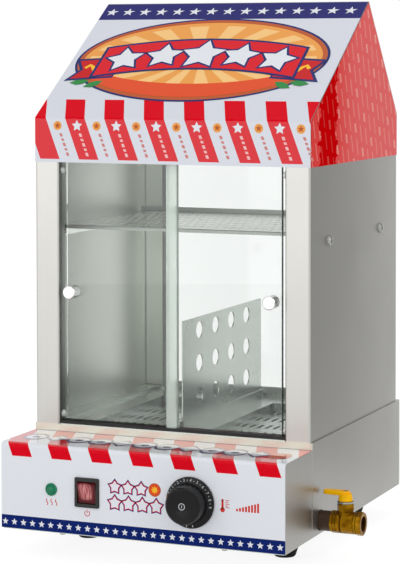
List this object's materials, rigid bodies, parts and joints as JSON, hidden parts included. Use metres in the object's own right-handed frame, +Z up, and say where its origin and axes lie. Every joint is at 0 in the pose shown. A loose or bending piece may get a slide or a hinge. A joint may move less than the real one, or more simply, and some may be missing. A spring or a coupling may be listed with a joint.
{
  "type": "hot dog steamer",
  "caption": "Counter-top hot dog steamer: stainless cabinet with pitched roof and sliding glass doors on a base with water tank, dial, rocker switch, pilot lamp and drain valve.",
  "frame": {"origin": "centre of the whole outline in plan, on the plane the feet stand on", "axes": "+X to the right as seen from the doors, +Y from the doors to the back, +Z up"},
  "size_m": [0.3518, 0.3888, 0.5579],
  "materials": {
    "stainless": "brushed",
    "stainless_satin": "satin",
    "roof_film": "printed gloss film",
    "gable_film": "printed gloss film",
    "panel_film": "printed gloss film",
    "door_glass": "clear, polished edges",
    "clear_plastic": "clear",
    "black_plastic": "moulded",
    "black_gloss": "gloss",
    "turned_aluminium": "turned",
    "zinc_steel": "plated",
    "yellow_brass": "as cast and turned",
    "dark_pipe": "black pipe",
    "yellow_paint": "gloss paint",
    "white_ptfe": "smooth",
    "green_lens": "translucent",
    "red_rocker": "translucent",
    "black_rubber": "matt",
    "white_ceramic": "unglazed"
  },
  "bodies": {
    "cabinet": {"base_shell": "stainless", "bottom_cover": "stainless_satin", "bun_shelf": "stainless_satin", "chamber_ceiling": "stainless_satin", "chamber_floor": "stainless_satin", "control_box": "stainless", "cord_gland": "black_plastic", "cover_screws": "zinc_steel", "divider_rail": "stainless_satin", "door_bumpers": "clear_plastic", "drain_elbow": "yellow_brass", "drain_nipple": "dark_pipe", "element_nuts": "yellow_brass", "foot_screws": "zinc_steel", "gland_lock_nut": "black_plastic", "heating_element": "stainless_satin", "lamp_body": "turned_aluminium", "lamp_lens": "green_lens", "lamp_nut": "black_plastic", "left_gable_decal": "gable_film", "left_side_panel": "stainless", "lower_door_track": "black_plastic", "m5_nuts": "zinc_steel", "packing_nut": "yellow_brass", "panel_decal": "panel_film", "rear_glass": "door_glass", "rear_glass_trim": "clear_plastic", "right_gable_decal": "gable_film", "right_side_panel": "stainless", "roof_canopy": "stainless", "roof_decal": "roof_film", "rubber_feet": "black_rubber", "shelf_screws": "zinc_steel", "stop_washer": "zinc_steel", "switch_housing": "black_plastic", "terminal_block": "white_ceramic", "thermostat_body": "stainless_satin", "thermostat_bulb": "stainless_satin", "thermostat_screws": "zinc_steel", "upper_door_track": "black_plastic", "valve_body": "yellow_brass", "valve_end": "yellow_brass", "valve_seats": "white_ptfe", "water_tank": "stainless_satin"},
    "right_door": {"right_door_glass": "door_glass", "right_door_knob": "turned_aluminium", "right_knob_screw": "zinc_steel"},
    "left_door": {"left_door_glass": "door_glass", "left_door_knob": "turned_aluminium", "left_knob_screw": "zinc_steel"},
    "rocker": {"rocker_button": "red_rocker"},
    "control_knob": {"dial_knob": "black_gloss", "dial_shaft": "zinc_steel"},
    "valve_handle": {"valve_lever": "yellow_paint", "valve_stem": "yellow_brass", "valve_ball": "yellow_brass", "lever_screw": "zinc_steel"},
    "left_tray": {"left_steam_tray": "stainless_satin"},
    "right_tray": {"right_steam_tray": "stainless_satin"},
    "divider": {"divider_plate": "stainless_satin"}
  },
  "joints": [
    {"name": "right_door_slide", "type": "slide", "parent": "cabinet", "child": "right_door", "axis": [1, 0, 0], "range_m": [-0.095, 0]},
    {"name": "left_door_slide", "type": "slide", "parent": "cabinet", "child": "left_door", "axis": [1, 0, 0], "range_m": [0, 0.095]},
    {"name": "rocker_tip", "type": "hinge", "parent": "cabinet", "child": "rocker", "pos_m": [-0.078, -0.17058, 0.0717], "axis": [1, 0, 0], "range_deg": [-22, 0]},
    {"name": "dial_turn", "type": "hinge", "parent": "cabinet", "child": "control_knob", "pos_m": [0.0334, -0.17258, 0.0715], "axis": [0, 1, 0], "range_deg": [0, 270]},
    {"name": "valve_turn", "type": "hinge", "parent": "cabinet", "child": "valve_handle", "pos_m": [0.1572, -0.07558, 0.0422], "axis": [0, 0, 1], "range_deg": [-90, 0]},
    {"name": "left_tray_lift", "type": "slide", "parent": "cabinet", "child": "left_tray", "axis": [0, 0, 1], "range_m": [0, 0.06]},
    {"name": "right_tray_lift", "type": "slide", "parent": "cabinet", "child": "right_tray", "axis": [0, 0, 1], "range_m": [0, 0.06]},
    {"name": "divider_lift", "type": "slide", "parent": "cabinet", "child": "divider", "axis": [0, 0, 1], "range_m": [0, 0.07]}
  ]
}
